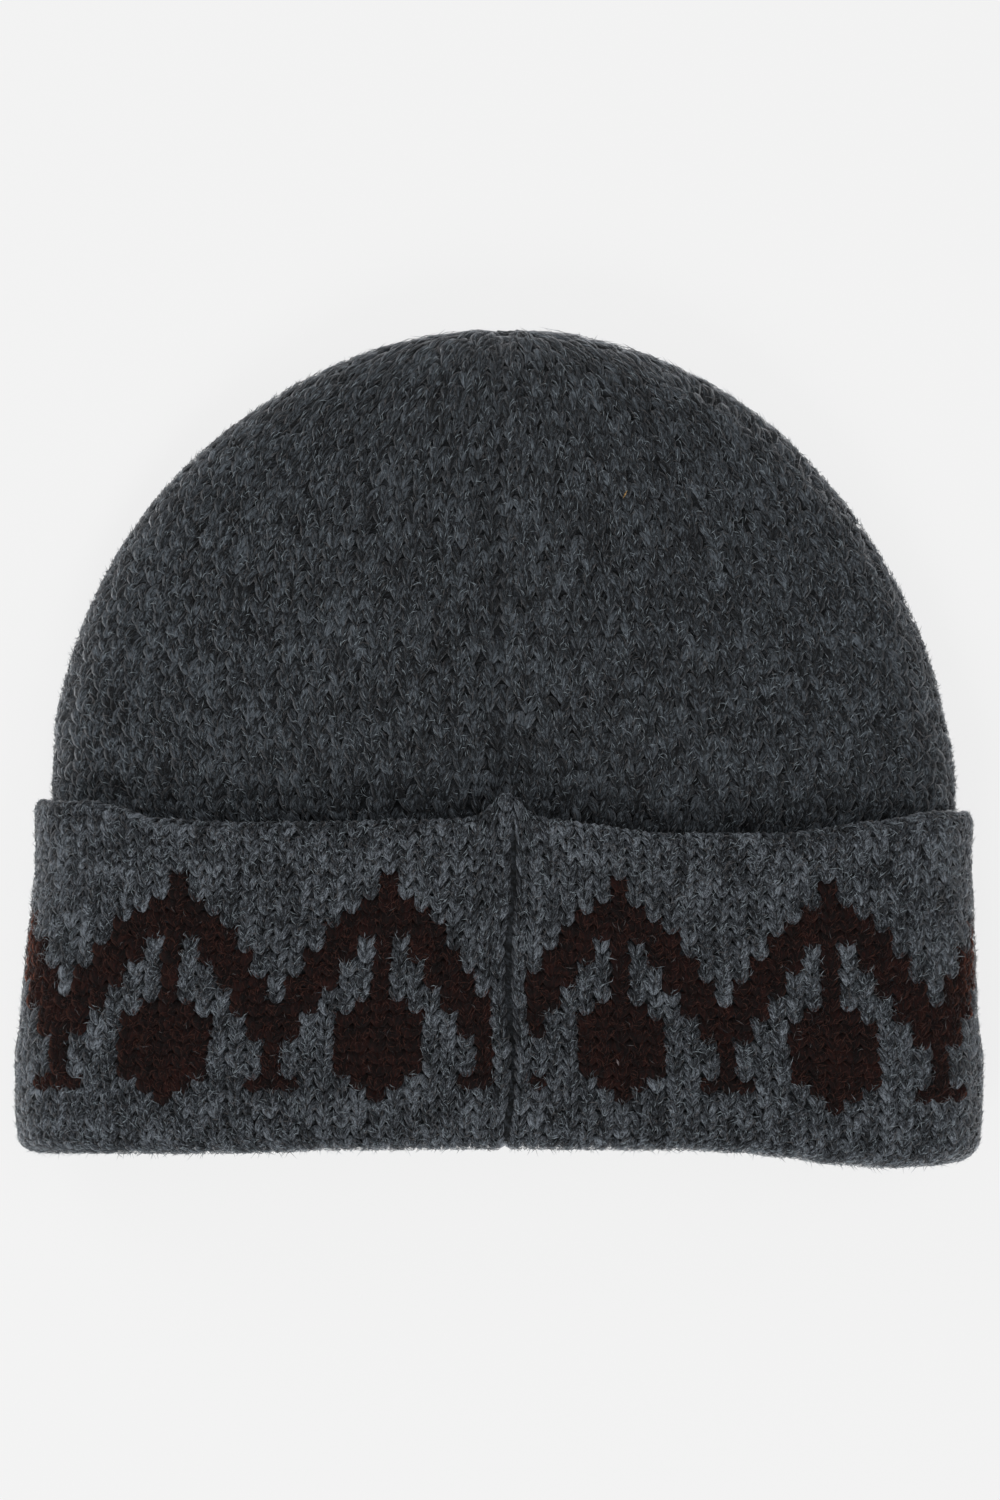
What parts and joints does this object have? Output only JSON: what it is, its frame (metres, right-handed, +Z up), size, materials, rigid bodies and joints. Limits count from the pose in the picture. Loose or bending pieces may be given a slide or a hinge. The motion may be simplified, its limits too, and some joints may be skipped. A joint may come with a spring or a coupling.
{
  "type": "cuffed knit beanie",
  "caption": "Chunky jersey-knit beanie lying flat: a hollow domed crown, its hem turned up as a deep cuff around the open mouth, and a seam up the back.",
  "frame": {"origin": "on the surface that the hat lies on, under the middle of its bounding box", "axes": "+X across the hat from side fold to side fold, +Y from the mouth to the top of the crown, +Z up, out of the back of the hat, which lies face down with its back seam up"},
  "size_m": [0.2397, 0.2078, 0.03],
  "materials": {
    "crown_knit": "brushed mixed grey wool, jersey stitch, matt and slightly hairy",
    "cuff_knit": "mixed grey wool, clear jersey stitch, matt and slightly hairy",
    "pattern_yarn": "dark brown wool, matt, knitted into the cuff",
    "seam_yarn": "grey wool of the sewn back seam, matt"
  },
  "bodies": {
    "root": {"crown": "crown_knit", "cuff": "cuff_knit", "crown_seam": "seam_yarn", "cuff_seam": "seam_yarn"}
  },
  "joints": []
}
